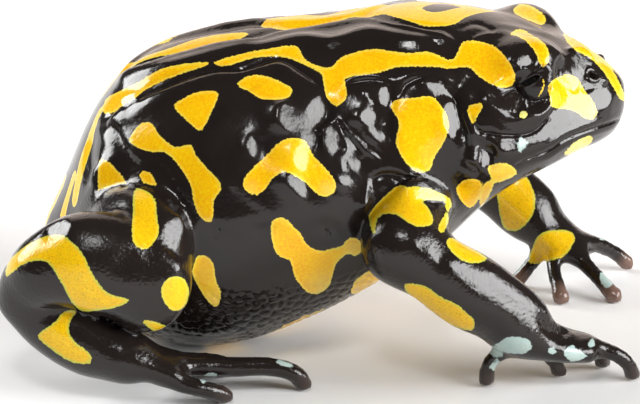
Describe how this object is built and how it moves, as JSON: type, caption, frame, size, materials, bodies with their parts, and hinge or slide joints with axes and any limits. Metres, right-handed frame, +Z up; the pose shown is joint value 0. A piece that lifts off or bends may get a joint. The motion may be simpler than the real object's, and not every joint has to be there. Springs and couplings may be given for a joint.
{
  "type": "corroboree frog",
  "caption": "Life-size still model of a plump frog, standing high on bent forelegs with its belly and folded hind legs on the floor.",
  "frame": {"origin": "on the floor under the middle of the body, at the middle of the animal's length and width", "axes": "+X forward from the vent to the snout, +Y to the frog's left, +Z up"},
  "size_m": [0.0305, 0.0219, 0.0163],
  "materials": {
    "skin": "wet, glossy black skin with yellow marks",
    "digit": "wet, glossy dark brown skin",
    "eye": "wet, polished black"
  },
  "bodies": {
    "root": {"torso": "skin", "head": "skin", "lower_jaw": "skin", "eye_right": "eye", "eye_left": "eye", "upper_arm_right": "skin", "forearm_right": "skin", "hand_right": "skin", "finger_right_1": "digit", "finger_right_2": "digit", "finger_right_3": "digit", "finger_right_4": "digit", "upper_arm_left": "skin", "forearm_left": "skin", "hand_left": "skin", "finger_left_1": "digit", "finger_left_2": "digit", "finger_left_3": "digit", "finger_left_4": "digit", "thigh_right": "skin", "shank_right": "skin", "tarsus_right": "skin", "foot_right": "skin", "toe_right_1": "digit", "toe_right_2": "digit", "toe_right_3": "digit", "toe_right_4": "digit", "toe_right_5": "digit", "thigh_left": "skin", "shank_left": "skin", "tarsus_left": "skin", "foot_left": "skin", "toe_left_1": "digit", "toe_left_2": "digit", "toe_left_3": "digit", "toe_left_4": "digit", "toe_left_5": "digit"}
  },
  "joints": []
}
